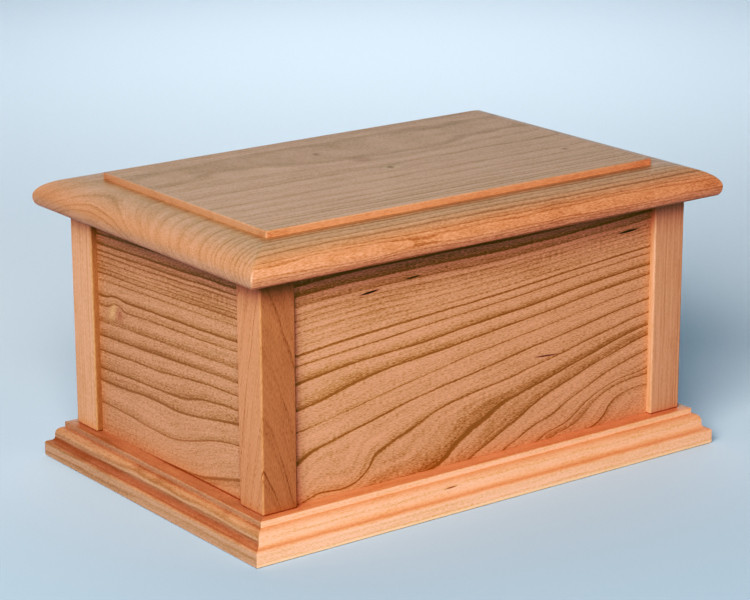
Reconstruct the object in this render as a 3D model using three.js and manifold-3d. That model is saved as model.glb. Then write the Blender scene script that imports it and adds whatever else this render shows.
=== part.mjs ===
// A box urn in solid cherry. Four mitred mouldings make the base and hold a bottom board in a rebate.
// Four square corner posts and four panels stand on the base, with the panels set back from the
// faces of the posts. A thick lid with a moulded edge and a raised field rests on top and lifts off.
// Millimetres, +Z up, +X along the length, -Y to the front, origin at the middle of the underside.

import * as THREE from "three";
import { mergeVertices } from "three/addons/utils/BufferGeometryUtils.js";
import Module from "manifold-3d";

// Body: posts and panels
const BODY_LENGTH = 266; // over the outer faces of the posts
const BODY_WIDTH = 172;
const WALL_HEIGHT = 116.25; // posts and panels alike, from the base to the lid
const POST_SIDE = 20; // square section
const POST_EASE = 1; // rounding of a post's four long edges
const PANEL_THICKNESS = 13; // centred on the posts

// Base: mitred mouldings around a bottom board
const BASE_OVERHANG = 12.75; // from the face of a post to the face of the base
const BASE_HEIGHT = 19;
const BASE_DEPTH = 36; // from the face of the base inwards
const FASCIA_HEIGHT = 6.5; // upright lower face, up to its rounded top edge
const NOSE_RADIUS = 1.5; // rounded top edge of the lower face
const COVE_RADIUS = 2.5; // hollow above the nose
const RISER_HEIGHT = 1.5; // upright between hollow and bead
const BEAD_RADIUS = 4; // quarter round above the riser
const BOTTOM_THICKNESS = 6.5; // the bottom board lies flush with the top of the base
const REBATE_INSET = 26; // from the face of the base to the shoulder that the bottom board meets
const BOTTOM_CLEARANCE = 0.25; // around the bottom board in its rebate
const MITRE_GAP = 0.2; // measured along the moulding, at each end

// Lid
const LID_OVERHANG = 14; // from the face of a post to the lid's nose
const LID_THICKNESS = 18.5;
const NOSE_HEIGHT = 4.75; // where the lid is widest, above its underside
const UNDER_EASE = 2.5; // how far the lower edge draws in from the nose
const EDGE_REACH = 22.5; // half width of the ellipse that rounds the edge above the nose
const EDGE_RISE = 10.5; // half height of that ellipse; a level margin goes on from its top
const FIELD_INSET = 26.75; // from the lid's nose to the upright step of the raised field

// Fineness of the curves
const CURVE_SEGMENTS = 6; // straight steps in a quarter round
const EDGE_SEGMENTS = 10; // straight steps in a quarter of the lid's elliptical edge
const MERGE_DISTANCE = 1e-3; // corners closer than this are one

// Cherry with a satin coat: each kind of piece was cut from wood of its own tone
const SATIN = { roughness: 0.42, metalness: 0 };
const LID_COLOUR = 0xbd8761;
const POST_COLOUR = 0xc98f68;
const PANEL_COLOUR = 0xbb8055;
const BASE_COLOUR = 0xcf8e66;
const BOTTOM_COLOUR = 0xb47b55;

// Sizes that follow from the driving dimensions
const BASE_LENGTH = BODY_LENGTH + 2 * BASE_OVERHANG;
const BASE_WIDTH = BODY_WIDTH + 2 * BASE_OVERHANG;
const LID_LENGTH = BODY_LENGTH + 2 * LID_OVERHANG;
const LID_WIDTH = BODY_WIDTH + 2 * LID_OVERHANG;
const WALL_TOP = BASE_HEIGHT + WALL_HEIGHT;
const REVEAL = (POST_SIDE - PANEL_THICKNESS) / 2; // set-back of a panel from the posts' faces

const wasm = await Module();
wasm.setup();

// A closed geometry as a solid that can be cut and joined.
function solidOf(geometry) {
  const bare = geometry.clone().deleteAttribute("normal").deleteAttribute("uv");
  const merged = mergeVertices(bare, MERGE_DISTANCE);
  const vertProperties = new Float32Array(merged.attributes.position.array);
  const triVerts = new Uint32Array(merged.index.array);
  return new wasm.Manifold(new wasm.Mesh({ numProp: 3, vertProperties, triVerts }));
}

// A solid back as a geometry.
function geometryOf(solid) {
  const mesh = solid.getMesh();
  const geometry = new THREE.BufferGeometry();
  geometry.setAttribute("position", new THREE.BufferAttribute(mesh.vertProperties, 3));
  geometry.setIndex(new THREE.BufferAttribute(mesh.triVerts, 1));
  geometry.computeVertexNormals();
  return geometry;
}

// One piece of the urn, placed by its middle and its turn about the vertical.
function piece(name, geometry, color, x, y, z, turn = 0) {
  const mesh = new THREE.Mesh(geometry, new THREE.MeshStandardMaterial({ color, ...SATIN }));
  mesh.name = name;
  mesh.position.set(x, y, z);
  mesh.rotation.z = turn;
  return mesh;
}

// Section of a base moulding: across is measured inwards from its face, up from the underside.
function baseSection() {
  const coveTop = FASCIA_HEIGHT + NOSE_RADIUS + COVE_RADIUS;
  const beadFoot = coveTop + RISER_HEIGHT;
  const land = NOSE_RADIUS + COVE_RADIUS + BEAD_RADIUS; // inset of the small upright under the top
  const shape = new THREE.Shape();
  shape.moveTo(0, 0);
  shape.lineTo(BASE_DEPTH, 0);
  shape.lineTo(BASE_DEPTH, BASE_HEIGHT - BOTTOM_THICKNESS);
  shape.lineTo(REBATE_INSET, BASE_HEIGHT - BOTTOM_THICKNESS);
  shape.lineTo(REBATE_INSET, BASE_HEIGHT);
  shape.lineTo(land, BASE_HEIGHT);
  shape.lineTo(land, beadFoot + BEAD_RADIUS);
  shape.absarc(land, beadFoot, BEAD_RADIUS, Math.PI / 2, Math.PI, false);
  shape.lineTo(NOSE_RADIUS + COVE_RADIUS, coveTop);
  shape.absarc(NOSE_RADIUS, coveTop, COVE_RADIUS, 0, -Math.PI / 2, true);
  shape.absarc(NOSE_RADIUS, FASCIA_HEIGHT, NOSE_RADIUS, Math.PI / 2, Math.PI, false);
  shape.lineTo(0, 0);
  return shape;
}

// A moulding along X with its face to -Y at y = 0, mitred at both ends: every point of the section
// stops short of the full length by its distance from the face.
function mouldingGeometry(length) {
  const geometry = new THREE.ExtrudeGeometry(baseSection(), {
    depth: length,
    bevelEnabled: false,
    curveSegments: CURVE_SEGMENTS,
  });
  const position = geometry.attributes.position;
  for (let i = 0; i < position.count; i++) {
    const across = position.getX(i);
    const up = position.getY(i);
    const end = position.getZ(i) < length / 2 ? -1 : 1;
    position.setXYZ(i, end * (length / 2 - MITRE_GAP - across), across, up);
  }
  geometry.computeVertexNormals();
  return geometry;
}

// Four mouldings, each turned so that its face looks outwards.
function makeBase() {
  const base = new THREE.Group();
  const long = mouldingGeometry(BASE_LENGTH);
  const short = mouldingGeometry(BASE_WIDTH);
  base.add(
    piece("front_base_moulding", long, BASE_COLOUR, 0, -BASE_WIDTH / 2, 0, 0),
    piece("back_base_moulding", long, BASE_COLOUR, 0, BASE_WIDTH / 2, 0, Math.PI),
    piece("left_base_moulding", short, BASE_COLOUR, -BASE_LENGTH / 2, 0, 0, -Math.PI / 2),
    piece("right_base_moulding", short, BASE_COLOUR, BASE_LENGTH / 2, 0, 0, Math.PI / 2),
  );
  return base;
}

// The bottom board fills the rebate; the panels stand on its edge.
function makeBottom() {
  const margin = 2 * (REBATE_INSET + BOTTOM_CLEARANCE);
  const board = new THREE.BoxGeometry(BASE_LENGTH - margin, BASE_WIDTH - margin, BOTTOM_THICKNESS);
  return piece("bottom_board", board, BOTTOM_COLOUR, 0, 0, BASE_HEIGHT - BOTTOM_THICKNESS / 2);
}

// A square post with its four long edges rounded.
function postGeometry() {
  const flat = POST_SIDE / 2 - POST_EASE;
  const shape = new THREE.Shape();
  for (let corner = 0; corner < 4; corner++) {
    const start = (corner * Math.PI) / 2;
    const x = flat * (corner === 0 || corner === 3 ? 1 : -1);
    const y = flat * (corner < 2 ? 1 : -1);
    shape.absarc(x, y, POST_EASE, start, start + Math.PI / 2, false);
  }
  return new THREE.ExtrudeGeometry(shape, {
    depth: WALL_HEIGHT,
    bevelEnabled: false,
    curveSegments: CURVE_SEGMENTS,
  });
}

// One post at each corner, standing on the base.
function makePosts() {
  const posts = new THREE.Group();
  const geometry = postGeometry();
  const x = (BODY_LENGTH - POST_SIDE) / 2;
  const y = (BODY_WIDTH - POST_SIDE) / 2;
  for (const [endName, endSign] of [["front", -1], ["back", 1]]) {
    for (const [sideName, sideSign] of [["left", -1], ["right", 1]]) {
      const name = `${endName}_${sideName}_post`;
      posts.add(piece(name, geometry, POST_COLOUR, sideSign * x, endSign * y, BASE_HEIGHT));
    }
  }
  return posts;
}

// Panels fit between the posts, edge to edge.
function makePanels() {
  const panels = new THREE.Group();
  const longClear = BODY_LENGTH - 2 * POST_SIDE;
  const shortClear = BODY_WIDTH - 2 * POST_SIDE;
  const long = new THREE.BoxGeometry(longClear, PANEL_THICKNESS, WALL_HEIGHT);
  const short = new THREE.BoxGeometry(PANEL_THICKNESS, shortClear, WALL_HEIGHT);
  const x = BODY_LENGTH / 2 - REVEAL - PANEL_THICKNESS / 2;
  const y = BODY_WIDTH / 2 - REVEAL - PANEL_THICKNESS / 2;
  const z = BASE_HEIGHT + WALL_HEIGHT / 2;
  panels.add(
    piece("front_panel", long, PANEL_COLOUR, 0, -y, z),
    piece("back_panel", long, PANEL_COLOUR, 0, y, z),
    piece("left_panel", short, PANEL_COLOUR, -x, 0, z),
    piece("right_panel", short, PANEL_COLOUR, x, 0, z),
  );
  return panels;
}

// Section of the lid across a given span: eased lower edge, elliptical edge above the nose, level margin,
// step, raised field. The two sides mirror each other.
function lidSection(span) {
  const half = span / 2;
  const field = half - FIELD_INSET;
  const margin = NOSE_HEIGHT + EDGE_RISE; // height of the level margin
  const under = half - UNDER_EASE; // middle of the lower edge's curve
  const edge = half - EDGE_REACH; // middle of the upper edge's curve
  const quarter = Math.PI / 2;
  const shape = new THREE.Shape();
  shape.moveTo(-under, 0);
  shape.lineTo(under, 0);
  shape.absellipse(under, NOSE_HEIGHT, UNDER_EASE, NOSE_HEIGHT, -quarter, 0, false);
  shape.absellipse(edge, NOSE_HEIGHT, EDGE_REACH, EDGE_RISE, 0, quarter, false);
  shape.lineTo(field, margin);
  shape.lineTo(field, LID_THICKNESS);
  shape.lineTo(-field, LID_THICKNESS);
  shape.lineTo(-field, margin);
  shape.absellipse(-edge, NOSE_HEIGHT, EDGE_REACH, EDGE_RISE, quarter, 2 * quarter, false);
  shape.absellipse(-under, NOSE_HEIGHT, UNDER_EASE, NOSE_HEIGHT, 2 * quarter, 3 * quarter, false);
  return shape;
}

// The edge is cut along all four sides, so the lid is what a section run along X and a section run
// along Y have in common, and the corners come out mitred.
function makeLid() {
  const options = (depth) => ({ depth, bevelEnabled: false, curveSegments: EDGE_SEGMENTS });
  const alongY = new THREE.ExtrudeGeometry(lidSection(LID_LENGTH), options(LID_WIDTH));
  alongY.rotateX(Math.PI / 2).translate(0, LID_WIDTH / 2, 0);
  const alongX = new THREE.ExtrudeGeometry(lidSection(LID_WIDTH), options(LID_LENGTH));
  alongX.rotateX(Math.PI / 2).rotateZ(Math.PI / 2).translate(-LID_LENGTH / 2, 0, 0);
  const board = solidOf(alongY).intersect(solidOf(alongX));
  return piece("lid", geometryOf(board), LID_COLOUR, 0, 0, WALL_TOP);
}

const urn = new THREE.Group();
urn.add(makeBase(), makeBottom(), makePosts(), makePanels(), makeLid());

export default urn;
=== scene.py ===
"""Looks of a rectangular cherry-wood cremation urn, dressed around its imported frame.

Every board of the urn is a mesh of its own with a wood figure of its own. The growth rings are worked out
in the solid, from where the board lay in the tree, so the figure turns over edges as it does in sawn wood.
"""

import logging
import math
import random
from collections.abc import Iterable
from dataclasses import dataclass
from enum import Enum
from typing import NamedTuple

import bmesh
import bpy
from mathutils import Matrix, Vector


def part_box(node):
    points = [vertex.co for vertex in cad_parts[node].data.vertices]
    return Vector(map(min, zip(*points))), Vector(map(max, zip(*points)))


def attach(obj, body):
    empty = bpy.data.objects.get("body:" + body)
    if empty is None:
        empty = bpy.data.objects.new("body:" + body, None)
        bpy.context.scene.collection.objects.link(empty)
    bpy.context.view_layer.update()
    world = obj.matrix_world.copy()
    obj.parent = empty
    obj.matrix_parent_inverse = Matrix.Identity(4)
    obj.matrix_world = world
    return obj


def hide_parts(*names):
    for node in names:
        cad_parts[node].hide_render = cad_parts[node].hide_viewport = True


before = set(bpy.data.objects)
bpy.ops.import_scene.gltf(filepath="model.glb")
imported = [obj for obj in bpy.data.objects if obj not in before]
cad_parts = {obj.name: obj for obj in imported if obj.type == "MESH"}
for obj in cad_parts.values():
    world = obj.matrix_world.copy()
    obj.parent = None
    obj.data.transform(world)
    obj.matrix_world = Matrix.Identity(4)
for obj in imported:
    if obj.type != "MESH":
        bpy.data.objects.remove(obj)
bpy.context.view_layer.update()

log = logging.getLogger("cremation_urn")

# Millimetres to metres
MM = 0.001
QUARTER_TURN = math.pi / 2
BODY = "root"
# Edges that fold more than this stay crisp
SHARP_ANGLE = math.radians(35)
# An edge that climbs less than this, in mm, counts as level
LEVEL = 1e-6
# How far ring widths and darknesses stray from their mean in a quiet tree
WIDTH_RANGE = (0.6, 1.4)
DARK_RANGE = (0.5, 1.5)

Numbers = tuple[float, float, float]
Socket = bpy.types.NodeSocket


def hex_to_linear(code: str) -> tuple[float, float, float, float]:
    """Turns an sRGB hex colour into linear light.

    Args:
        code: The colour as "#RRGGBB".

    Returns:
        Red, green, blue and a full alpha.
    """
    channels = [int(code[i:i + 2], 16) / 255 for i in (1, 3, 5)]
    linear = [c / 12.92 if c <= 0.04045 else ((c + 0.055) / 1.055) ** 2.4 for c in channels]
    return (*linear, 1.0)


def add_node(tree: bpy.types.NodeTree, kind: str, inputs: dict | None = None,
             **settings: object) -> Socket | None:
    """Adds one shader node, with its settings, values and links.

    Args:
        tree: The node tree that takes the node.
        kind: The node's type, without its ShaderNode prefix.
        inputs: A value or another node's output for each input, by name or number.
        **settings: Properties of the node itself.

    Returns:
        The node's first output in use, or None where it has none.
    """
    node = tree.nodes.new("ShaderNode" + kind)
    for name, value in settings.items():
        setattr(node, name, value)
    for key, value in (inputs or {}).items():
        if isinstance(value, Socket):
            tree.links.new(value, node.inputs[key])
        else:
            node.inputs[key].default_value = value
    return next((output for output in node.outputs if output.enabled), None)


def bare_tree(owner: bpy.types.Material | bpy.types.World) -> bpy.types.NodeTree:
    """Gives a material or a world an empty node tree.

    Args:
        owner: The material or world.

    Returns:
        Its tree.
    """
    owner.use_nodes = True
    owner.node_tree.nodes.clear()
    return owner.node_tree


def graded(tree: bpy.types.NodeTree, place: Socket, way: Numbers, span: tuple[float, float],
           colours: tuple[str, str]) -> Socket:
    """Grades one colour softly into another.

    Args:
        tree: The node tree that takes the nodes.
        place: The place or direction that is measured.
        way: The way along which it is measured.
        span: Where the first colour ends and where the second is reached.
        colours: The two colours.

    Returns:
        The graded colour.
    """
    distance = add_node(tree, "VectorMath", {0: place, 1: way}, operation="DOT_PRODUCT")
    share = add_node(tree, "MapRange", {"Value": distance, "From Min": span[0], "From Max": span[1]},
                     interpolation_type="SMOOTHSTEP")
    first, second = (hex_to_linear(code) for code in colours)
    return add_node(tree, "Mix", {"Factor": share, "A": first, "B": second}, data_type="RGBA")


def put_in_scene(name: str, data: bpy.types.ID) -> bpy.types.Object:
    """Makes an object and links it to the scene.

    Args:
        name: The object's name.
        data: Its mesh, light or camera.

    Returns:
        The object.
    """
    thing = bpy.data.objects.new(name, data)
    bpy.context.scene.collection.objects.link(thing)
    return thing


class Lie(Enum):
    """How a board lies in the urn: the way its grain runs, and the way its show face looks."""

    TOP = ((1, 0, 0), (0, 0, 1))
    FRONT = ((1, 0, 0), (0, -1, 0))
    BACK = ((-1, 0, 0), (0, 1, 0))
    LEFT = ((0, -1, 0), (-1, 0, 0))
    RIGHT = ((0, 1, 0), (1, 0, 0))
    UPRIGHT = ((0, 0, 1), (0, -1, 0))

    def axes(self) -> Matrix:
        """Gives the board's axes as matrix rows: along the grain, across it, and out of the show face."""
        along, out = (Vector(v) for v in self.value)
        return Matrix((along, out.cross(along), out))


class Stain(Enum):
    """Colours that mark single spots of the wood, one of them painted shade."""

    GUM = "#2E1A0E"
    KNOT = "#703822"
    KNOT_RIM = "#C9A07E"
    SAPWOOD = "#F0D9AE"
    # Painted shade: the dark in the left moulding's fillet and cove, and along the left panel's foot where
    # it meets the base
    PAINTED_SHADE = "#7A4423"
    PALE = "#CC9C89"
    # Lightens the faces of the lid's raised step
    STEP_PALE = "#D8A38D"


@dataclass(frozen=True)
class Swell:
    """A place where the growth rings bulge, in the board's own mm.

    The lift is added to the ring radius at the middle and dies out at the reach.
    """

    along: float
    across: float
    reach_along: float
    reach_across: float
    lift: float


@dataclass(frozen=True)
class Mark:
    """A spot of a board, such as a gum streak, a pin knot or a patch of painted shade, in the board's own
    mm.

    The core is the share of its reach that takes the full stain.
    """

    stain: Stain
    along: float
    across: float
    half_length: float
    half_width: float
    turn: float = 0.0
    strength: float = 1.0
    core: float = 0.35


class Ring(NamedTuple):
    """One growth ring: its radius in mm, and how dark its line and the late wood beside it are, up to 1.

    The late wood lies on the line's pith side when its width is positive, on its bark side when negative.
    The line's own breadth is given against the usual one.
    """

    radius: float
    dark: float
    shade: float = 0.15
    width: float = 3.0
    breadth: float = 1.0


@dataclass(frozen=True)
class Figure:
    """How a board was sawn from the tree, in its own mm: along the grain, across it, out of its face.

    A ring keeps its distance from the pith, and the taper is what that distance squared loses with each mm
    along the grain. Faces that look along the run-out direction, given in the urn's axes, take the finish's
    tint for it, and its narrowness is how fast the tint is lost on faces that turn away from it. On the
    lid's top that tint is painted sheen and shade, on the upper faces of the base mouldings painted light,
    on the back left post's front face partly the wood's own colour and partly painted shade, and on the
    near post's front face it darkens and warms the face.
    """

    pith: Numbers
    taper: float
    rings: tuple[Ring, ...]
    swells: tuple[Swell, ...] = ()
    marks: tuple[Mark, ...] = ()
    wander: float = 1.2
    runout_and_painted_light: Numbers = (0.0, 0.0, 0.0)
    runout_and_painted_light_narrowness: float = 1.0


def even_growth(first: float, last: float, width: float, seed: int, dark: float = 0.6,
                breadth: float = 1.0) -> tuple[Ring, ...]:
    """Makes the rings of a quiet tree, each a little wider or narrower than the last.

    Args:
        first: Radius of the first ring in mm.
        last: Rings stop before this radius in mm.
        width: Mean ring width in mm.
        seed: Starts the draw of widths, so a board is the same each time.
        dark: Mean darkness of the lines.
        breadth: How broad each line is against the usual.

    Returns:
        The rings.
    """
    draw = random.Random(seed)
    rings = []
    radius = first
    while radius < last:
        rings.append(Ring(radius, dark * draw.uniform(*DARK_RANGE), breadth=breadth))
        radius += width * draw.uniform(*WIDTH_RANGE)
    return tuple(rings)


@dataclass(frozen=True)
class SatinCherry:
    """Planed and sanded cherry heartwood under a satin lacquer.

    The eye gets an orange tan with thin brown ring lines, each beside a soft band of late wood, with silky
    flecks along the grain, and with a soft sheen that pales at low angles.
    """

    early: str = "#D49E86"
    body: str = "#C69782"
    late: str = "#B48A6B"
    ring_edge: str = "#936F46"
    # Tint for faces that look along the figure's run-out direction; where it is used it is mostly painted
    # light, see Figure
    runout_and_painted_light_tint: str = "#E6E5D2"
    ring_contrast: float = 1.0
    streak_contrast: float = 1.0
    fleck_contrast: float = 1.0
    roughness: float = 0.45


class BoardMaterial:
    """Builds the node tree of one board, which reads Object coordinates turned into the board's own mm."""

    # Sizes in mm of the patterns, along the grain and across it
    WANDER = (90.0, 26.0)
    RIPPLE = (22.0, 7.0)
    BLOTCH = (55.0, 16.0)
    SILK = (16.0, 2.2)
    STRENGTH = (38.0, 9.0)
    FLECK = (2.0, 0.5)
    # Streaks along the rings. A vessel is about 0.06 mm wide, too fine to show, so a thread stands for many
    LINES = (70.0, 1.4)
    THREADS = (14.0, 0.7)
    # A ring's line: how far its foot and its dark core reach from its middle in mm, and how much of the
    # darkness is left on the core's far side
    FOOT = 0.78
    EDGE = 0.26
    FAR_SIDE = 0.9
    # One curve is stored in 256 steps, so it takes only so many rings before thin lines are lost
    RINGS_PER_CURVE = 6
    # How deep marks and swells go into the board, in mm
    MARK_DEPTH = 12.0
    SWELL_DEPTH = 60.0
    # How strong each finer layer of a noise is against the one before
    NOISE_ROUGHNESS = 0.55
    # How strongly each pattern moves the tone
    LINE_TONE = 0.10
    THREAD_TONE = 0.12
    FLECK_TONE = 0.36
    BLOTCH_TONE = 0.10
    # Rings come and go along the board by this much, and never fall below the least
    STRENGTH_SWING = 0.3
    LEAST_STRENGTH = 0.2
    # The squared ring radius stays above this, in square mm, so that it has a root
    LEAST_SQUARE = 1.0
    # Short ripples stray by this share of the long wander
    RIPPLE_SHARE = 0.3
    # The tone of plain wood, the reach of the patterns around it, and the tones of the four colours
    PLAIN_TONE = 0.26
    TONE_REACH = 0.72
    COLOUR_TONES = (0.0, 0.27, 0.50, 0.80)
    # Lacquer: how far the gloss strays, its index, and how it sinks over dark lines, in mm
    GLOSS_SWING = 0.03
    LACQUER_IOR = 1.5
    RELIEF_STRENGTH = 0.35
    RELIEF_HEIGHT = 0.05
    # End grain drinks in more lacquer: it looks a little deeper and its rings are fainter
    END_TINT = "#DCECF2"
    END_FADE = 0.45

    def __init__(self, name: str, finish: SatinCherry, figure: Figure, lie: Lie, origin: Vector) -> None:
        """Starts the material and its coordinates.

        Args:
            name: The material's name.
            finish: The wood's colours and gloss.
            figure: How the board was sawn.
            lie: Which way the board lies.
            origin: The point in mm that the board's own mm are counted from.
        """
        self.finish = finish
        self.figure = figure
        self.lie = lie
        self.material = bpy.data.materials.new(name)
        self.tree = bare_tree(self.material)
        axes = lie.axes()
        coordinates = add_node(self.tree, "TexCoord").node.outputs
        self.place = add_node(self.tree, "Mapping", {
            "Vector": coordinates["Object"],
            "Location": -(axes @ origin),
            "Rotation": axes.to_euler(),
            "Scale": (1 / MM, 1 / MM, 1 / MM),
        })
        self.normal = coordinates["Normal"]

    def total(self, *parts: Socket | float) -> Socket:
        """Adds up heights or tones.

        Args:
            *parts: Two or more of them.

        Returns:
            Their sum.
        """
        whole = parts[0]
        for part in parts[1:]:
            whole = add_node(self.tree, "Math", {0: whole, 1: part}, operation="ADD")
        return whole

    def swing(self, noise: Socket, height: float) -> Socket:
        """Stretches the usual range of a noise.

        Args:
            noise: The noise, which mostly stays between a quarter and three quarters.
            height: The result runs from about minus this to plus this.

        Returns:
            The stretched noise.
        """
        return add_node(self.tree, "MapRange", {
            "Value": noise, "From Min": 0.25, "From Max": 0.75,
            "To Min": -height, "To Max": height}, clamp=False)

    def grain_noise(self, size: tuple[float, float], height: float, detail: float = 2.0) -> Socket:
        """Makes noise that is drawn out along the grain.

        Args:
            size: Length and width of one patch in mm.
            height: The noise runs from minus this to plus this.
            detail: How much finer noise is laid over it.

        Returns:
            The noise.
        """
        along, across = size
        stretched = add_node(self.tree, "VectorMath", {
            0: self.place, 1: (1 / along, 1 / across, 1 / across)}, operation="MULTIPLY")
        noise = add_node(self.tree, "TexNoise", {
            "Vector": stretched, "Scale": 1.0, "Detail": detail, "Roughness": self.NOISE_ROUGHNESS})
        return self.swing(noise, height)

    def streaks(self, radius: Socket, size: tuple[float, float], height: float) -> Socket:
        """Makes noise that is drawn out along the growth rings, as the lines of vessels are.

        Args:
            radius: The ring radius in mm.
            size: Length and width of one streak in mm.
            height: The noise runs from minus this to plus this.

        Returns:
            The noise.
        """
        length, width = size
        along = add_node(self.tree, "VectorMath", {
            0: self.place, 1: (1 / length, 0, 0)}, operation="DOT_PRODUCT")
        across = add_node(self.tree, "Math", {0: radius, 1: width}, operation="DIVIDE")
        place = add_node(self.tree, "CombineXYZ", {"X": along, "Y": across})
        noise = add_node(self.tree, "TexNoise", {
            "Vector": place, "Scale": 1.0, "Detail": 1.0}, noise_dimensions="2D")
        return self.swing(noise, height)

    def spot(self, centre: Numbers, reach: Numbers, turn: float, edge: float, height: float) -> Socket:
        """Makes a soft oval spot in the board.

        Args:
            centre: The spot's middle in board mm.
            reach: How far it reaches along, across and into the board.
            turn: Its turn in the show face, in degrees.
            edge: The share of the reach from which it fades.
            height: Its value at the middle.

        Returns:
            The height inside the spot, falling to nothing at its edge.
        """
        inside = add_node(self.tree, "Mapping", {
            "Vector": self.place, "Location": centre, "Scale": reach,
            "Rotation": (0, 0, math.radians(turn))}, vector_type="TEXTURE")
        distance = add_node(self.tree, "VectorMath", {0: inside}, operation="LENGTH")
        return add_node(self.tree, "MapRange", {
            "Value": distance, "From Min": edge, "From Max": 1.0,
            "To Min": height, "To Max": 0.0}, interpolation_type="SMOOTHSTEP")

    def ring_radius(self) -> Socket:
        """Works out each point's distance from the pith in mm, with the tree's own unevenness.

        Returns:
            The ring radius.
        """
        figure = self.figure
        offset = add_node(self.tree, "VectorMath", {0: self.place, 1: figure.pith}, operation="SUBTRACT")
        sideways = add_node(self.tree, "VectorMath", {0: offset, 1: (0, 1, 1)}, operation="MULTIPLY")
        squared = add_node(self.tree, "VectorMath", {0: sideways, 1: sideways}, operation="DOT_PRODUCT")
        gained = add_node(self.tree, "VectorMath", {
            0: offset, 1: (-figure.taper, 0, 0)}, operation="DOT_PRODUCT")
        square = add_node(self.tree, "Math", {
            0: self.total(squared, gained), 1: self.LEAST_SQUARE}, operation="MAXIMUM")
        radius = add_node(self.tree, "Math", {0: square}, operation="SQRT")
        for swell in figure.swells:
            reach = (swell.reach_along, swell.reach_across, self.SWELL_DEPTH)
            lift = self.spot((swell.along, swell.across, 0), reach, 0, 0, swell.lift)
            radius = self.total(radius, lift)
        wander = self.grain_noise(self.WANDER, figure.wander)
        ripple = self.grain_noise(self.RIPPLE, figure.wander * self.RIPPLE_SHARE)
        return self.total(radius, wander, ripple)

    def facing(self, direction: Numbers) -> Socket:
        """Tells how squarely a face looks along one of the urn's directions: 1 if straight, -1 if away."""
        return add_node(self.tree, "VectorMath", {0: self.normal, 1: direction}, operation="DOT_PRODUCT")

    def face_tint(self, colour: Socket, share: Socket, tint: str) -> Socket:
        """Deepens the colour of some faces.

        Args:
            colour: The wood's colour.
            share: How much of the tint each face takes.
            tint: The colour that a face with a full share is multiplied by.

        Returns:
            The tinted colour.
        """
        return add_node(self.tree, "Mix", {
            "Factor": share, "A": colour, "B": hex_to_linear(tint)},
            data_type="RGBA", blend_type="MULTIPLY")

    def growth_points(self, rings: tuple[Ring, ...]) -> list[tuple[float, float]]:
        """Lays out a growth curve: tone against ring radius. Late wood stops short of another ring's line.

        Args:
            rings: The rings that the curve holds.

        Returns:
            Radius in mm and tone of each point, from the pith outwards.
        """
        points = []
        for ring in rings:
            side = math.copysign(1.0, ring.width)
            foot = side * self.FOOT * ring.breadth
            edge = side * self.EDGE * ring.breadth
            points += [
                (ring.radius - foot, ring.shade),
                (ring.radius - edge, ring.dark),
                (ring.radius + edge, self.FAR_SIDE * ring.dark),
                (ring.radius + foot, 0.0),
            ]
            fade = ring.radius - ring.width
            if all(abs(fade - other.radius) > self.FOOT * other.breadth for other in rings):
                points.append((fade, 0.0))
        points.sort()
        return [(points[0][0] - self.FOOT, 0.0), *points, (points[-1][0] + self.FOOT, 0.0)]

    def growth_tone(self, radius: Socket) -> Socket:
        """Turns the ring radius into how dark the wood is there.

        Args:
            radius: The ring radius in mm.

        Returns:
            The tone, about 0 for early wood and 1 for the end of late wood.
        """
        rings = self.figure.rings
        tone = 0.0
        for first in range(0, len(rings), self.RINGS_PER_CURVE):
            points = self.growth_points(rings[first:first + self.RINGS_PER_CURVE])
            nearest = points[0][0]
            span = points[-1][0] - nearest
            distance = add_node(self.tree, "Math", {0: radius, 1: nearest}, operation="SUBTRACT")
            share = add_node(self.tree, "Math", {0: distance, 1: span}, operation="DIVIDE")
            dark_here = add_node(self.tree, "FloatCurve", {"Value": share})
            mapping = dark_here.node.mapping
            growth = mapping.curves[0]
            growth.points[1].location = (1.0, 0.0)
            for place, dark in points[1:-1]:
                growth.points.new((place - nearest) / span, dark)
            for point in growth.points:
                point.handle_type = "VECTOR"
            mapping.update()
            tone = add_node(self.tree, "Math", {0: tone, 1: dark_here}, operation="MAXIMUM")
        return tone

    def tone(self, radius: Socket, rings: Socket, fleck: Socket, end: Socket) -> Socket:
        """Adds up the patterns that make the wood lighter or darker.

        Args:
            radius: The ring radius in mm.
            rings: How dark the growth rings are.
            fleck: The flecks along the grain.
            end: How far a face shows end grain.

        Returns:
            The tone, which runs through the finish's colours.
        """
        streak = self.finish.streak_contrast
        lines = self.streaks(radius, self.LINES, self.LINE_TONE * streak)
        threads = self.streaks(radius, self.THREADS, self.THREAD_TONE * streak)
        fade = add_node(self.tree, "Math", {0: end, 1: -self.END_FADE, 2: 1.0}, operation="MULTIPLY_ADD")
        grain = add_node(self.tree, "Math", {
            0: self.total(lines, threads, rings), 1: fade}, operation="MULTIPLY")
        blotch = self.grain_noise(self.BLOTCH, self.BLOTCH_TONE)
        return add_node(self.tree, "Math", {
            0: self.total(grain, fleck, blotch), 1: self.TONE_REACH, 2: self.PLAIN_TONE},
            operation="MULTIPLY_ADD")

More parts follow.
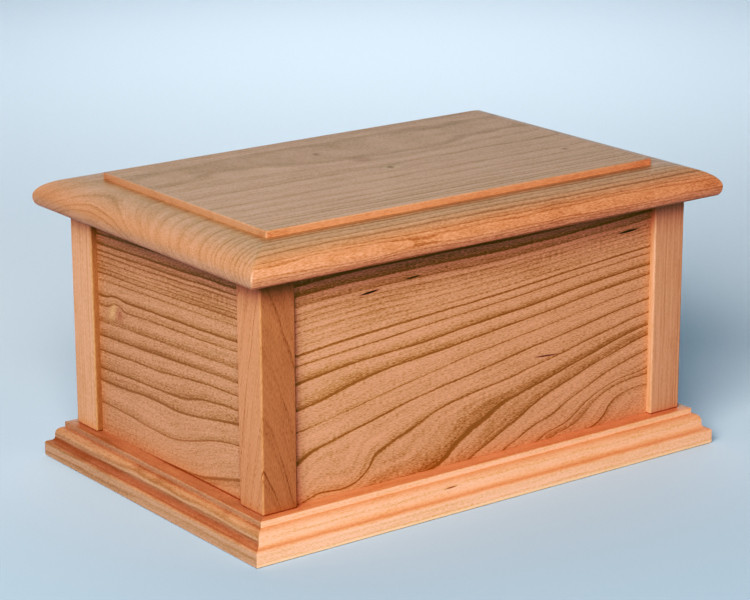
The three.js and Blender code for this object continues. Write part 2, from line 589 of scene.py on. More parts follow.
    def colour(self, tone: Socket, end: Socket) -> Socket:
        """Turns the tone into the wood's colour, with its marks and the tints of single faces, some marks
        painted shade and some tints painted light.

        Args:
            tone: The wood's tone.
            end: How far a face shows end grain.

        Returns:
            The colour.
        """
        finish = self.finish
        colour = add_node(self.tree, "ValToRGB", {"Fac": tone})
        stops = colour.node.color_ramp.elements
        early, body, late, ring_edge = self.COLOUR_TONES
        stops[0].position = early
        stops[0].color = hex_to_linear(finish.early)
        stops[1].position = ring_edge
        stops[1].color = hex_to_linear(finish.ring_edge)
        stops.new(body).color = hex_to_linear(finish.body)
        stops.new(late).color = hex_to_linear(finish.late)
        for mark in self.figure.marks:
            reach = (mark.half_length, mark.half_width, self.MARK_DEPTH)
            mask = self.spot((mark.along, mark.across, 0), reach, mark.turn, mark.core, mark.strength)
            colour = add_node(self.tree, "Mix", {
                "Factor": mask, "A": colour, "B": hex_to_linear(mark.stain.value)}, data_type="RGBA")
        colour = self.face_tint(colour, end, self.END_TINT)
        # Faces that look along the run-out direction take the finish's tint: painted light on the lid's top
        # and the mouldings' upper faces, partly painted shade on the back left post's front face
        if any(self.figure.runout_and_painted_light):
            front = add_node(self.tree, "Math", {
                0: self.facing(self.figure.runout_and_painted_light), 1: 0.0}, operation="MAXIMUM")
            share = add_node(self.tree, "Math", {
                0: front, 1: self.figure.runout_and_painted_light_narrowness}, operation="POWER")
            colour = self.face_tint(colour, share, finish.runout_and_painted_light_tint)
        return colour

    def build(self) -> bpy.types.Material:
        """Builds the whole tree.

        Returns:
            The finished material.
        """
        finish = self.finish
        radius = self.ring_radius()
        strength = self.total(finish.ring_contrast, self.grain_noise(self.STRENGTH, self.STRENGTH_SWING))
        strength = add_node(self.tree, "Math", {0: strength, 1: self.LEAST_STRENGTH}, operation="MAXIMUM")
        growth = self.growth_tone(radius)
        rings = add_node(self.tree, "Math", {0: growth, 1: strength}, operation="MULTIPLY")
        fleck = self.grain_noise(self.FLECK, self.FLECK_TONE * finish.fleck_contrast, 1.0)
        end = add_node(self.tree, "Math", {0: self.facing(self.lie.value[0])}, operation="ABSOLUTE")
        colour = self.colour(self.tone(radius, rings, fleck, end), end)
        gloss = self.total(finish.roughness, self.grain_noise(self.SILK, self.GLOSS_SWING))
        sunk = add_node(self.tree, "Math", {0: 0.0, 1: self.total(rings, fleck)}, operation="SUBTRACT")
        relief = add_node(self.tree, "Bump", {
            "Height": sunk, "Strength": self.RELIEF_STRENGTH, "Distance": self.RELIEF_HEIGHT * MM})
        shader = add_node(self.tree, "BsdfPrincipled", {
            "Base Color": colour, "Roughness": gloss, "IOR": self.LACQUER_IOR, "Normal": relief})
        add_node(self.tree, "OutputMaterial", {"Surface": shader})
        return self.material


def dress(bm: bmesh.types.BMesh, node: str, material: bpy.types.Material) -> bpy.types.Object:
    """Turns a finished bmesh into a piece of the urn.

    Args:
        bm: The mesh, in mm, at its place in the urn. It is freed.
        node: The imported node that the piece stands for.
        material: The board's own material.

    Returns:
        The piece.
    """
    bmesh.ops.scale(bm, vec=(MM, MM, MM), verts=bm.verts)
    bmesh.ops.recalc_face_normals(bm, faces=bm.faces)
    mesh = bpy.data.meshes.new("cherry_" + node)
    bm.to_mesh(mesh)
    bm.free()
    mesh.shade_smooth()
    mesh.set_sharp_from_angle(angle=SHARP_ANGLE)
    mesh.materials.append(material)
    piece = put_in_scene("cherry_" + node, mesh)
    even = piece.modifiers.new("even_shading", "WEIGHTED_NORMAL")
    even.keep_sharp = True
    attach(piece, BODY)
    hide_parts(node)
    return piece


def node_box(node: str) -> tuple[Vector, Vector]:
    """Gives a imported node's lowest and highest corners in mm."""
    low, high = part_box(node)
    return Vector(low) / MM, Vector(high) / MM


def planed_block(low: Vector, high: Vector) -> bmesh.types.BMesh:
    """Starts a square-edged board between two corners.

    Args:
        low: The lowest corner in mm.
        high: The highest corner in mm.

    Returns:
        The board's mesh.
    """
    bm = bmesh.new()
    bmesh.ops.create_cube(bm, size=1.0)
    bmesh.ops.scale(bm, vec=high - low, verts=bm.verts)
    bmesh.ops.translate(bm, vec=(low + high) / 2, verts=bm.verts)
    return bm


def is_level(edge: bmesh.types.BMEdge) -> bool:
    """Tells whether both ends of an edge are at one height."""
    return abs(edge.verts[0].co.z - edge.verts[1].co.z) < LEVEL


def ease(bm: bmesh.types.BMesh, edges: Iterable[bmesh.types.BMEdge], size: float, segments: int) -> None:
    """Rounds edges as sandpaper does.

    Args:
        bm: The board's mesh.
        edges: The edges to round.
        size: How far back from the edge the rounding starts, in mm.
        segments: Facets in the rounding.
    """
    bmesh.ops.bevel(bm, geom=list(edges), offset=size, offset_type="OFFSET", affect="EDGES",
                    segments=segments, profile=0.5, material=-1, clamp_overlap=True)


LID_FIGURE = Figure(
    pith=(0.0, 42.0, -95.0),
    taper=0.0,
    rings=(
        *even_growth(73.0, 94.0, 3.4, seed=33, dark=0.35, breadth=0.6),
        Ring(95.9, 0.3),
        Ring(99.2, 0.15),
        Ring(104.6, 0.3),
        Ring(110.5, 0.1),
        Ring(116.1, 0.3),
        Ring(122.8, 0.2),
        Ring(129.3, 0.3),
        Ring(133.5, 0.25),
        *even_growth(137.0, 148.5, 3.2, seed=31, dark=0.5, breadth=1.0),
        *even_growth(150.0, 161.0, 2.1, seed=35, dark=0.5, breadth=0.7),
        *even_growth(162.2, 165.2, 0.6, seed=36, dark=0.35, breadth=0.22),
    ),
    swells=(
        Swell(-70, 34, 46, 22, 1.2),
        Swell(-22, 50, 30, 16, -0.8),
        Swell(2, -8, 15, 11, -2.4),
        Swell(30, 20, 85, 26, -2.2),
    ),
    marks=(
        Mark(Stain.KNOT_RIM, 2.5, -6.5, 7.0, 5.0, 0, 0.5),
        Mark(Stain.KNOT, 2.0, -6.75, 3.0, 3.6, -30, 0.65, 0.1),
        Mark(Stain.KNOT, -12.0, 39.0, 3.0, 4.0, -30, 0.5, 0.1),
        Mark(Stain.KNOT, 99.0, -30.0, 2.8, 2.8, -30, 0.5, 0.1),
        Mark(Stain.KNOT, 0.0, 16.0, 8.0, 7.0, 0, 0.25),
        # Paler bands on the front and left faces of the raised step
        Mark(Stain.STEP_PALE, 0.0, -73.25, 122.0, 1.2, 0, 0.45, 0.85),
        Mark(Stain.STEP_PALE, -120.25, 0.0, 1.2, 75.0, 0, 0.4, 0.85),
    ),
    wander=0.8,
    # Painted sheen and shade: faces that look up take the lid finish's tint, the level top most
    runout_and_painted_light=(0.0, 0.0, 1.0),
    runout_and_painted_light_narrowness=8.0,
)

FRONT_FIGURE = Figure(
    pith=(100.0, -30.0, -1.0),
    taper=19.0,
    rings=(
        Ring(39.5, 0.6, 0.15, 3.0, 0.8),
        Ring(48.5, 0.5, 0.3, -3.7, 0.8),
        Ring(52.2, 0.5, 0.1, -2.0, 0.7),
        Ring(59.6, 0.65, 0.15, -2.0, 0.55),
        Ring(65.4, 0.7, 0.35, -4.0, 0.45),
        Ring(69.5, 0.9, 0.4, -3.5, 0.5),
        Ring(75.5, 0.7, 0.2, -2.0, 0.45),
        Ring(83.2, 0.75, 0.15, -2.5, 0.6),
        Ring(91.3, 0.5, 0.1, -3.0, 0.6),
        Ring(99.8, 0.8, 0.35, -4.0, 0.7),
        Ring(107.8, 0.9, 0.4, -4.5, 0.85),
        Ring(116.7, 0.6, 0.1, -2.0, 0.8),
        Ring(122.0, 0.75, 0.25, -4.0, 0.85),
        *even_growth(126.0, 141.0, 2.6, seed=41, dark=0.3, breadth=0.7),
        Ring(143.0, 0.5, 0.3, -4.0, 0.8),
        Ring(147.5, 0.6, 0.45, -4.5, 0.8),
        Ring(152.0, 0.65, 0.5, -5.0, 0.8),
        Ring(157.0, 0.6, 0.5, -4.0, 0.8),
    ),
    swells=(
        Swell(-17, 44, 93, 48, -3.6),
        Swell(119, 69, 171, 52, -12.0),
        Swell(95, 102, 200, 60, 10.2),
        Swell(-19, -4, 106, 41, 12.0),
        Swell(-88, 61, 72, 14, -3.4),
        Swell(-82, 7, 22, 25, 4.6),
        Swell(-114, 6, 36, 24, 6.0),
        Swell(87, 13, 46, 14, -10.4),
        Swell(74, 12, 39, 16, 7.6),
        Swell(38, 14, 66, 25, 3.6),
    ),
    marks=(
        Mark(Stain.GUM, -67.5, 98.0, 8.0, 0.7, 5, 0.95),
        Mark(Stain.GUM, -41.5, 101.0, 6.0, 0.5, 3, 0.85),
        Mark(Stain.GUM, 97.5, 101.5, 9.5, 0.75, 3, 0.95),
        Mark(Stain.GUM, 43.5, 45.0, 10.0, 0.6, -4, 0.7),
    ),
    wander=0.5,
)

LEFT_FIGURE = Figure(
    pith=(67.0, -65.0, 0.0),
    taper=13.0,
    rings=(
        Ring(73.1, 0.75, 0.3, 3.0, 0.9),
        Ring(91.7, 0.8, 0.25, -4.0, 0.7),
        Ring(102.0, 0.85, 0.25, -5.0, 0.8),
        Ring(107.8, 0.75, 0.25, -4.5, 0.7),
        Ring(116.6, 0.6, 0.2, -3.0, 0.8),
        Ring(124.3, 0.7, 0.35, -4.0, 0.8),
        Ring(131.7, 0.4, 0.25, -4.0, 1.0),
        Ring(139.9, 0.5, 0.2, -3.0, 0.8),
        Ring(144.8, 0.9, 0.35, -3.0, 0.8),
        Ring(152.5, 0.4, 0.1, -3.0, 0.7),
        Ring(156.0, 0.65, 0.2, -2.0, 0.7),
        *even_growth(158.5, 166.0, 2.6, seed=42, dark=0.4, breadth=0.7),
        Ring(167.5, 0.7, 0.2, -3.0, 0.8),
        Ring(171.0, 0.85, 0.3, -4.0, 0.9),
        Ring(176.0, 0.6, 0.2, -3.0, 0.8),
    ),
    swells=(
        Swell(30, 19, 110, 27, 10.0),
        Swell(-49, 72, 11, 7, -2.6),
        Swell(55, 18, 65, 22, -12.0),
        Swell(-4, 29, 56, 11, -3.0),
        Swell(55, 42, 74, 20, -3.2),
    ),
    marks=(
        Mark(Stain.KNOT_RIM, -52.5, 67.5, 3.6, 8.5, -30, 0.6, 0.0),
        Mark(Stain.KNOT, -45.5, 67.0, 5.0, 5.0, 0, 0.35, 0.0),
        Mark(Stain.PALE, 0.0, 8.0, 130.0, 42.0, 0, 0.18, 0.0),
        # Painted shade along the panel's foot, where it meets the base
        Mark(Stain.PAINTED_SHADE, 40.0, 0.0, 90.0, 1.3, 0, 0.7),
    ),
    wander=0.5,
)

BACK_FIGURE = Figure(
    pith=(160.0, 30.0, -30.0),
    taper=12.0,
    rings=even_growth(30.0, 120.0, 7.5, seed=5, dark=0.55, breadth=0.7),
    wander=0.8,
)

RIGHT_FIGURE = Figure(
    pith=(90.0, -30.0, -8.0),
    taper=9.0,
    rings=even_growth(40.0, 165.0, 7.5, seed=8, dark=0.6, breadth=0.7),
    wander=0.8,
)

BASE_FIGURES = {
    # The upward faces of the front and left mouldings take their finish's tint, which is painted light
    "front": Figure((0.0, -60.0, -40.0), 0.3, even_growth(40.0, 110.0, 3.2, seed=2, dark=0.4), marks=(
        Mark(Stain.SAPWOOD, 0.0, -0.2, 400.0, 2.4, 0, 0.4),
        Mark(Stain.GUM, -27.0, 12.5, 6.0, 0.6, 2, 0.7),
    ), wander=0.6, runout_and_painted_light=(0.0, 0.0, 1.0)),
    "back": Figure((0.0, -50.0, -40.0), 0.4, even_growth(40.0, 110.0, 3.4, seed=3, dark=0.45), wander=0.6),
    "left": Figure((40.0, -60.0, -40.0), 0.6, even_growth(40.0, 110.0, 3.4, seed=4, dark=0.4), marks=(
        # Painted shade in the fillet and in the cove under the bead
        Mark(Stain.PAINTED_SHADE, 0.0, 17.3, 400.0, 2.4, 0, 0.55),
        Mark(Stain.PAINTED_SHADE, 0.0, 9.5, 400.0, 2.2, 0, 0.45),
    ), wander=1.2, runout_and_painted_light=(0.0, 0.0, 1.0)),
    "right": Figure((40.0, 4.0, -30.0), 1.2, even_growth(6.0, 60.0, 3.6, seed=6, dark=0.5), wander=1.0),
}

FRONTWARDS = (0.0, -1.0, 0.0)
POST_FIGURES = {
    # The back left post's front face takes a tint that is partly its own colour and partly painted shade;
    # the near post's front face is darkened and warmed
    "front_left": Figure(
        (0.0, 26.0, 40.0), -20.0, even_growth(42.0, 82.0, 5.6, seed=11, dark=0.5, breadth=0.35),
        wander=0.8, runout_and_painted_light=FRONTWARDS),
    "front_right": Figure(
        (0.0, 60.0, -30.0), 0.8, even_growth(30.0, 120.0, 2.4, seed=12, dark=0.3), wander=0.4),
    "back_left": Figure(
        (0.0, 40.0, 60.0), 0.4, even_growth(20.0, 140.0, 2.2, seed=13, dark=0.3),
        wander=0.3, runout_and_painted_light=FRONTWARDS),
    "back_right": Figure(
        (0.0, 60.0, 40.0), 0.5, even_growth(20.0, 140.0, 2.4, seed=14, dark=0.35), wander=0.4),
}

BOTTOM_FIGURE = Figure(
    (0.0, 10.0, -45.0), 0.6, even_growth(30.0, 130.0, 5.0, seed=21, dark=0.55), wander=1.0)


@dataclass
class Lid:
    """The lift-off lid: one wide board, its edges moulded to a long rounded slope, its field raised.

    Sizes are in mm, along the edge's section from the nose inwards.
    """

    nose_height: float = 4.75
    under_ease: float = 2.5
    edge_reach: float = 22.5
    edge_rise: float = 10.5
    field_inset: float = 26.75
    nose_land: float = 0.05
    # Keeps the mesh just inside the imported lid
    skin: float = 0.01
    under_steps: int = 6
    edge_steps: int = 18
    mitre_ease: float = 1.0
    field_ease: float = 0.75
    ease_segments: int = 3
    # A mitre folds more than the angle, runs diagonally to within the slack, and lies at least the depth
    # below the top
    mitre_angle: float = math.radians(2)
    mitre_slack: float = 0.01
    mitre_depth: float = 1.0
    # Its tint for upward faces is painted sheen and shade on the top
    finish: SatinCherry = SatinCherry(
        early="#D79D87", body="#C9927A", late="#B8856B", ring_edge="#9E7454",
        runout_and_painted_light_tint="#DBF3ED", ring_contrast=1.15, streak_contrast=0.9)

    def quarter_steps(self, inset: float, rise: float, steps: int) -> list[tuple[float, float]]:
        """Divides a quarter ellipse into steps from upright to level.

        Args:
            inset: The ellipse's reach inwards in mm.
            rise: Its reach up or down in mm.
            steps: Number of steps.

        Returns:
            How far each step goes in, and how far up or down.
        """
        turns = [QUARTER_TURN * i / steps for i in range(steps + 1)]
        return [
            (inset * (math.cos(a) - math.cos(b)), rise * (math.sin(b) - math.sin(a)))
            for a, b in zip(turns, turns[1:])
        ]

    def mesh(self) -> bmesh.types.BMesh:
        """Moulds the lid from a thin slab at its nose, stepping inwards above and below.

        Returns:
            The lid's mesh in mm.
        """
        low, high = node_box("lid")
        nose = low.z + self.nose_height
        bm = planed_block(Vector((low.x + self.skin, low.y + self.skin, nose - self.nose_land)),
                          Vector((high.x - self.skin, high.y - self.skin, nose)))
        under = min(bm.faces, key=lambda face: face.calc_center_median().z)
        upper = max(bm.faces, key=lambda face: face.calc_center_median().z)
        for inwards, down in self.quarter_steps(self.under_ease, self.nose_height - self.nose_land,
                                                self.under_steps):
            bmesh.ops.inset_region(bm, faces=[under], thickness=inwards, depth=down, use_even_offset=True)
        for inwards, up in self.quarter_steps(self.edge_reach, self.edge_rise, self.edge_steps):
            bmesh.ops.inset_region(bm, faces=[upper], thickness=inwards, depth=up, use_even_offset=True)
        margin = self.field_inset - self.edge_reach
        step = high.z - self.skin - nose - self.edge_rise
        bmesh.ops.inset_region(bm, faces=[upper], thickness=margin, depth=0.0, use_even_offset=True)
        raised = bmesh.ops.extrude_face_region(bm, geom=[upper])
        bmesh.ops.delete(bm, geom=[upper], context="FACES_ONLY")
        top = [item for item in raised["geom"] if isinstance(item, bmesh.types.BMFace)]
        bmesh.ops.translate(bm, vec=(0, 0, step), verts=top[0].verts)
        ease(bm, top[0].edges, self.field_ease, self.ease_segments)
        bm.normal_update()
        mitres = [edge for edge in bm.edges if self.is_mitre(edge)]
        ease(bm, mitres, self.mitre_ease, self.ease_segments)
        return bm

    def is_mitre(self, edge: bmesh.types.BMEdge) -> bool:
        """Tells whether an edge runs up a corner of the moulded edge, where two slopes meet.

        Args:
            edge: An edge of the lid's mesh.

        Returns:
            True for an edge of a mitre.
        """
        along = edge.verts[1].co - edge.verts[0].co
        diagonal = abs(abs(along.x) - abs(along.y)) < self.mitre_slack
        below_field = edge.verts[0].co.z < node_box("lid")[1].z - self.mitre_depth
        return diagonal and below_field and edge.calc_face_angle(0.0) > self.mitre_angle

    def build(self) -> list[bpy.types.Object]:
        """Makes the lid and dresses it.

        Returns:
            The lid alone.
        """
        high = node_box("lid")[1]
        origin = Vector((0, 0, high.z))
        wood = BoardMaterial("satin_cherry_lid", self.finish, LID_FIGURE, Lie.TOP, origin).build()
        return [dress(self.mesh(), "lid", wood)]


@dataclass
class Panels:
    """The four plain boards of the body, set back between the posts."""

    edge_ease: float = 0.12
    segments: int = 2
    front: SatinCherry = SatinCherry(ring_contrast=1.25, fleck_contrast=1.2)
    # Darker than the front finish: partly the end boards' own colour, partly painted shade for the left
    # end, which the key light reaches more squarely than the front
    left: SatinCherry = SatinCherry(
        early="#BF917C", body="#B08773", late="#9D795D", ring_edge="#876644",
        ring_contrast=1.3, fleck_contrast=1.4)

    def build(self) -> list[bpy.types.Object]:
        """Makes the four panels and dresses them.

        Returns:
            The panels.
        """
        boards = {
            "front_panel": (Lie.FRONT, FRONT_FIGURE, self.front),
            "back_panel": (Lie.BACK, BACK_FIGURE, self.front),
            "left_panel": (Lie.LEFT, LEFT_FIGURE, self.left),
            "right_panel": (Lie.RIGHT, RIGHT_FIGURE, self.left),
        }
        pieces = []
        for node, (lie, figure, finish) in boards.items():
            low, high = node_box(node)
            bm = planed_block(low, high)
            ease(bm, bm.edges, self.edge_ease, self.segments)
            out = Vector(lie.value[1])
            centre = (low + high) / 2
            half = (high - low) / 2
            face = centre + Vector((out.x * half.x, out.y * half.y, 0))
            origin = Vector((face.x, face.y, low.z))
            wood = BoardMaterial("satin_cherry_" + node, finish, figure, lie, origin).build()
            pieces.append(dress(bm, node, wood))
        return pieces


@dataclass
class CornerPosts:
    """The four square posts that stand proud at the corners of the body."""

    long_ease: float = 1.0
    end_ease: float = 0.9
    long_segments: int = 4
    end_segments: int = 3
    # The near and pale finishes tint the posts' front faces; for the pale one this is partly painted shade
    near: SatinCherry = SatinCherry(
        early="#BE8B75", body="#B6866E", late="#AA7D63", ring_edge="#8B5F41", runout_and_painted_light_tint="#ECEBDC",
        ring_contrast=0.8)
    pale: SatinCherry = SatinCherry(
        early="#D19F86", body="#C99982", late="#BD9077", ring_edge="#AE8365",
        runout_and_painted_light_tint="#C8CCBC")
    tan: SatinCherry = SatinCherry(
        early="#D09F89", body="#C99A84", late="#BD9078", ring_edge="#AE8467",
        ring_contrast=0.7, fleck_contrast=0.4)

    def build(self) -> list[bpy.types.Object]:
        """Makes the four posts and dresses them.

        Returns:
            The posts.
        """
        pieces = []
        for corner, figure in POST_FIGURES.items():
            node = corner + "_post"
            low, high = node_box(node)
            bm = planed_block(low, high)
            upright = [edge for edge in bm.edges if not is_level(edge)]
            ease(bm, upright, self.long_ease, self.long_segments)
            ends = [edge for edge in bm.edges if is_level(edge)]
            ease(bm, ends, self.end_ease, self.end_segments)
            centre = (low + high) / 2
            origin = Vector((centre.x, low.y, low.z))
            finish = {"front_left": self.near, "back_left": self.pale}.get(corner, self.tan)
            wood = BoardMaterial("satin_cherry_" + node, finish, figure, Lie.UPRIGHT, origin).build()
            pieces.append(dress(bm, node, wood))
        return pieces


@dataclass
class BaseFrame:
    """The base: four mouldings mitred at the corners. Sizes are in mm, inwards and upwards in section."""

    depth: float = 36.0
    height: float = 19.0
    fascia_height: float = 6.5
    nose_radius: float = 1.5
    cove_radius: float = 2.5
    riser_height: float = 1.5
    bead_radius: float = 4.0
    rebate_inset: float = 26.0
    rebate_depth: float = 6.5
    arris_ease: float = 0.4
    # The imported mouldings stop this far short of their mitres, plus a hair
    mitre_closing: float = 0.19
    arc_steps: int = 10
    # Each finish's tint for upward faces is painted light
    front: SatinCherry = SatinCherry(
        early="#F5BDA3", body="#EFB89E", late="#E4AD8E", ring_edge="#D29D78",
        runout_and_painted_light_tint="#DCCDC9", ring_contrast=0.7)
    sides: SatinCherry = SatinCherry(
        early="#BD9882", body="#B28E7C", late="#A3826C", ring_edge="#947459", runout_and_painted_light_tint="#FFEFE6")

    def line(self, bm: bmesh.types.BMesh, start: bmesh.types.BMVert, inwards: float,
             up: float) -> bmesh.types.BMVert:
        """Draws a straight stretch of the section.

        Args:
            bm: The mesh that holds the section.
            start: Where the stretch starts.
            inwards: How far it goes in, in mm.
            up: How far it goes up, in mm.

        Returns:
            The stretch's end.
        """
        drawn = bmesh.ops.extrude_vert_indiv(bm, verts=[start])
        bmesh.ops.translate(bm, vec=(0, inwards, up), verts=drawn["verts"])
        return drawn["verts"][0]

    def arc(self, bm: bmesh.types.BMesh, start: bmesh.types.BMVert, inwards: float, up: float,
            angle: float) -> bmesh.types.BMVert:
        """Draws a round stretch of the section.

        Args:
            bm: The mesh that holds the section.
            start: Where the stretch starts.
            inwards: The arc's centre from the start, inwards in mm.
            up: The arc's centre from the start, upwards in mm.
            angle: How far it turns, from inwards to upwards.

        Returns:
            The stretch's end.
        """
        drawn = bmesh.ops.spin(bm, geom=[start], cent=start.co + Vector((0, inwards, up)), axis=(1, 0, 0),
                               dvec=(0, 0, 0), angle=angle, steps=self.arc_steps, use_duplicate=False)
        return next(item for item in drawn["geom_last"] if isinstance(item, bmesh.types.BMVert))

    def section(self) -> bmesh.types.BMesh:
        """Draws the moulding's section: fascia, nose, cove, riser, bead, fillet, land and rebate.

        Returns:
            One face at x = 0, its outer face at y = 0.
        """
        bm = bmesh.new()
        round_edge = self.arris_ease
        nose_top = self.fascia_height + self.nose_radius
        bead_top = nose_top + self.cove_radius + self.riser_height + self.bead_radius
        fillet_inset = self.nose_radius + self.cove_radius + self.bead_radius
        first = bmesh.ops.create_vert(bm, co=(0, round_edge, 0))["vert"][0]
        point = self.arc(bm, first, 0, round_edge, -QUARTER_TURN)
        point = self.line(bm, point, 0, self.fascia_height - round_edge)
        point = self.arc(bm, point, self.nose_radius, 0, -QUARTER_TURN)
        point = self.arc(bm, point, 0, self.cove_radius, QUARTER_TURN)
        point = self.line(bm, point, 0, self.riser_height)
        point = self.arc(bm, point, self.bead_radius, 0, -QUARTER_TURN)
        point = self.line(bm, point, 0, self.height - bead_top - round_edge)
        point = self.arc(bm, point, round_edge, 0, -QUARTER_TURN)
        point = self.line(bm, point, self.rebate_inset - fillet_inset - round_edge, 0)
        point = self.line(bm, point, 0, -self.rebate_depth)
        point = self.line(bm, point, self.depth - self.rebate_inset, 0)
        point = self.line(bm, point, 0, self.rebate_depth - self.height)
        bmesh.ops.contextual_create(bm, geom=[point, first])
        bmesh.ops.contextual_create(bm, geom=bm.edges[:])
        return bm

    def moulding(self, half_length: float) -> bmesh.types.BMesh:
        """Runs the section along the moulding and cuts a mitre at each end.

        Args:
            half_length: Half the length of the outer face in mm.

        Returns:
            The moulding's mesh, its outer face at y = 0 and its middle at x = 0.
        """
        bm = self.section()
        bmesh.ops.translate(bm, vec=(-half_length, 0, 0), verts=bm.verts)
        run = bmesh.ops.extrude_face_region(bm, geom=bm.faces[:])
        moved = [item for item in run["geom"] if isinstance(item, bmesh.types.BMVert)]
        bmesh.ops.translate(bm, vec=(2 * half_length, 0, 0), verts=moved)
        for end in (-1, 1):
            whole = bm.verts[:] + bm.edges[:] + bm.faces[:]
            cut = bmesh.ops.bisect_plane(bm, geom=whole, plane_co=(end * half_length, 0, 0),
                                         plane_no=(end, 1, 0), clear_outer=True)
            rim = [item for item in cut["geom_cut"] if isinstance(item, bmesh.types.BMEdge)]
            bmesh.ops.contextual_create(bm, geom=rim)
        return bm

    def build(self) -> list[bpy.types.Object]:
        """Makes the four mouldings and dresses them.

        Returns:
            The mouldings.
        """
        sides = {
            "front": (Lie.FRONT, 0, self.front),
            "right": (Lie.RIGHT, 1, self.sides),
            "back": (Lie.BACK, 2, self.sides),
            "left": (Lie.LEFT, 3, self.sides),
        }
        pieces = []
        for side, (lie, quarters, finish) in sides.items():
            node = side + "_base_moulding"
            low, high = node_box(node)
            along, out = (Vector(v) for v in lie.value)
            half_length = abs((high - low).dot(along)) / 2 + self.mitre_closing
            reach = max(low.dot(out), high.dot(out))
            bm = self.moulding(half_length)
            turn = Matrix.Rotation(quarters * QUARTER_TURN, 3, "Z")
            bmesh.ops.rotate(bm, matrix=turn, verts=bm.verts)
            bmesh.ops.translate(bm, vec=out * reach, verts=bm.verts)
            figure = BASE_FIGURES[side]
            wood = BoardMaterial("satin_cherry_" + node, finish, figure, lie, out * reach).build()
            pieces.append(dress(bm, node, wood))
        return pieces


@dataclass
class BottomBoard:
    """The board that closes the urn from below, let into the base mouldings."""

    edge_ease: float = 0.5
    segments: int = 2
    finish: SatinCherry = SatinCherry(roughness=0.5)

    def build(self) -> list[bpy.types.Object]:
        """Makes the bottom board and dresses it.

        Returns:
            The board alone.
        """
        low, high = node_box("bottom_board")
        bm = planed_block(low, high)
        ease(bm, bm.edges, self.edge_ease, self.segments)
        origin = Vector((0, 0, high.z))
        wood = BoardMaterial("satin_cherry_bottom", self.finish, BOTTOM_FIGURE, Lie.TOP, origin).build()
        return [dress(bm, "bottom_board", wood)]


@dataclass(frozen=True)
class SoftBox:
    """A soft studio light.

    Where it stands, what it looks at, its width and its height are in metres, its power in watts, and the
    angle that it spreads over in degrees.
    """

    name: str
    place: Numbers
    aim: Numbers
    width: float
    height: float
    power: float
    spread: float = 180.0
    colour: str = "#FFFBF6"

    def build(self) -> None:
        """Hangs the light."""
        lamp = bpy.data.lights.new(self.name, "AREA")
        lamp.shape = "RECTANGLE"
        lamp.size = self.width
        lamp.size_y = self.height
        lamp.energy = self.power
        lamp.spread = math.radians(self.spread)
        lamp.color = hex_to_linear(self.colour)[:3]
        holder = put_in_scene(self.name, lamp)
        holder.location = self.place
        holder.rotation_euler = (Vector(self.aim) - Vector(self.place)).to_track_quat("-Z", "Y").to_euler()


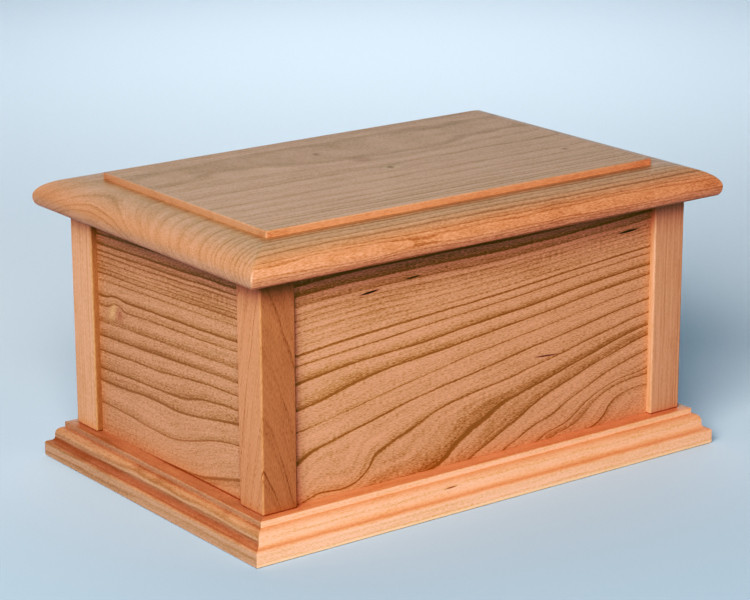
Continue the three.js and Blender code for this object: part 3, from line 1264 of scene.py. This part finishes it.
@dataclass
class Studio:
    """A pale blue-grey floor, soft lights and the camera. Places are in metres, angles in degrees."""

    floor_radius: float = 5.0
    floor_segments: int = 96
    floor_drop: float = 0.0002
    floor_roughness: float = 0.9
    # The floor's colour darkens towards the camera: painted falloff of light
    floor_near_painted_shade: str = "#A9BFD1"
    floor_far_painted_light: str = "#D5E3EE"
    near_end: float = -0.28
    far_end: float = 0.35
    contrast: tuple[tuple[float, float], ...] = (
        (0.06, 0.012), (0.14, 0.042), (0.22, 0.105), (0.35, 0.285), (0.55, 0.55), (0.80, 0.82))
    warm_shade: tuple[tuple[float, float], ...] = (
        (0.03, 0.005), (0.05, 0.014), (0.07, 0.032), (0.10, 0.074), (0.14, 0.129), (0.3, 0.297), (0.5, 0.5))
    room_colour: str = "#3A3733"
    backdrop_colour: str = "#E4F0FC"
    backdrop_elevation: float = 14.0
    backdrop_inner: float = 25.0
    backdrop_outer: float = 60.0
    room_strength: float = 1.3
    camera_place: Numbers = (-0.7826, -1.050, 0.469)
    camera_yaw: float = 36.591
    camera_pitch: float = 16.472
    camera_roll: float = -0.194
    # Focal length and sensor width in mm
    lens: float = 126.24
    sensor: float = 36.0
    lights: tuple[SoftBox, ...] = (
        SoftBox("key_left", (-1.128, -0.946, 0.93), (0, 0, 0.08), 1.3, 0.85, 48.7),
        SoftBox("far_floor", (0.68, 0.92, 1.4), (0.68, 0.92, 0), 1.0, 1.0, 2.5, 54.0, "#F2F8FF"),
    )

    def floor(self) -> None:
        """Lays the floor: matt paper, its colour graded from blue-grey in front to near white far back,
        which is painted light falling off towards the camera.
        """
        bm = bmesh.new()
        bmesh.ops.create_circle(bm, cap_ends=True, segments=self.floor_segments, radius=self.floor_radius)
        bmesh.ops.translate(bm, vec=(0, 0, -self.floor_drop), verts=bm.verts)
        mesh = bpy.data.meshes.new("studio_floor")
        bm.to_mesh(mesh)
        bm.free()
        paper = bpy.data.materials.new("matt_paper_floor")
        tree = bare_tree(paper)
        place = add_node(tree, "TexCoord").node.outputs["Object"]
        yaw = math.radians(self.camera_yaw)
        tint = graded(tree, place, (math.sin(yaw), math.cos(yaw), 0), (self.near_end, self.far_end),
                      (self.floor_near_painted_shade, self.floor_far_painted_light))
        shader = add_node(tree, "BsdfPrincipled", {"Base Color": tint, "Roughness": self.floor_roughness})
        add_node(tree, "OutputMaterial", {"Surface": shader})
        mesh.materials.append(paper)
        ground = put_in_scene("studio_floor", mesh)

    def room(self) -> None:
        """Lights the room: dim all round, and pale behind the urn, where a lit backdrop would stand."""
        world = bpy.data.worlds.new("studio_room")
        tree = bare_tree(world)
        yaw, rise = math.radians(self.camera_yaw), math.radians(self.backdrop_elevation)
        behind = (math.cos(rise) * math.sin(yaw), math.cos(rise) * math.cos(yaw), math.sin(rise))
        direction = add_node(tree, "TexCoord").node.outputs["Generated"]
        span = (math.cos(math.radians(self.backdrop_outer)), math.cos(math.radians(self.backdrop_inner)))
        colour = graded(tree, direction, behind, span, (self.room_colour, self.backdrop_colour))
        light = add_node(tree, "Background", {"Color": colour, "Strength": self.room_strength})
        add_node(tree, "OutputWorld", {"Surface": light})
        bpy.context.scene.world = world

    def camera(self) -> None:
        """Sets up the camera at the reference picture's place."""
        lens = bpy.data.cameras.new("studio_camera")
        lens.lens = self.lens
        lens.sensor_width = self.sensor
        lens.sensor_fit = "HORIZONTAL"
        eye = put_in_scene("studio_camera", lens)
        yaw, pitch, roll = (math.radians(a) for a in (self.camera_yaw, self.camera_pitch, self.camera_roll))
        turn = (Matrix.Rotation(-yaw, 4, "Z") @ Matrix.Rotation(QUARTER_TURN - pitch, 4, "X")
                @ Matrix.Rotation(roll, 4, "Z"))
        eye.matrix_world = Matrix.Translation(self.camera_place) @ turn
        bpy.context.scene.camera = eye

    def develop(self) -> None:
        """Gives the picture the contrast of a studio print: deep, warm shade, middle tones as they are."""
        view = bpy.context.scene.view_settings
        view.view_transform = "Standard"
        view.use_curve_mapping = True
        blue, overall = view.curve_mapping.curves[2:4]
        for curve, points in ((overall, self.contrast), (blue, self.warm_shade)):
            for light, printed in points:
                curve.points.new(light, printed)
        view.curve_mapping.update()

    def build(self) -> None:
        """Sets up floor, light and camera."""
        self.camera()
        self.floor()
        self.room()
        for light in self.lights:
            light.build()
        self.develop()


def main() -> None:
    """Builds the studio and the urn from its base upwards, and reports each piece."""
    logging.basicConfig(level=logging.INFO, format="%(name)s %(message)s")
    Studio().build()
    for assembly in (BaseFrame(), BottomBoard(), CornerPosts(), Panels(), Lid()):
        for piece in assembly.build():
            log.info("%s: %d faces", piece.name, len(piece.data.polygons))


if __name__ == "__main__":
    main()
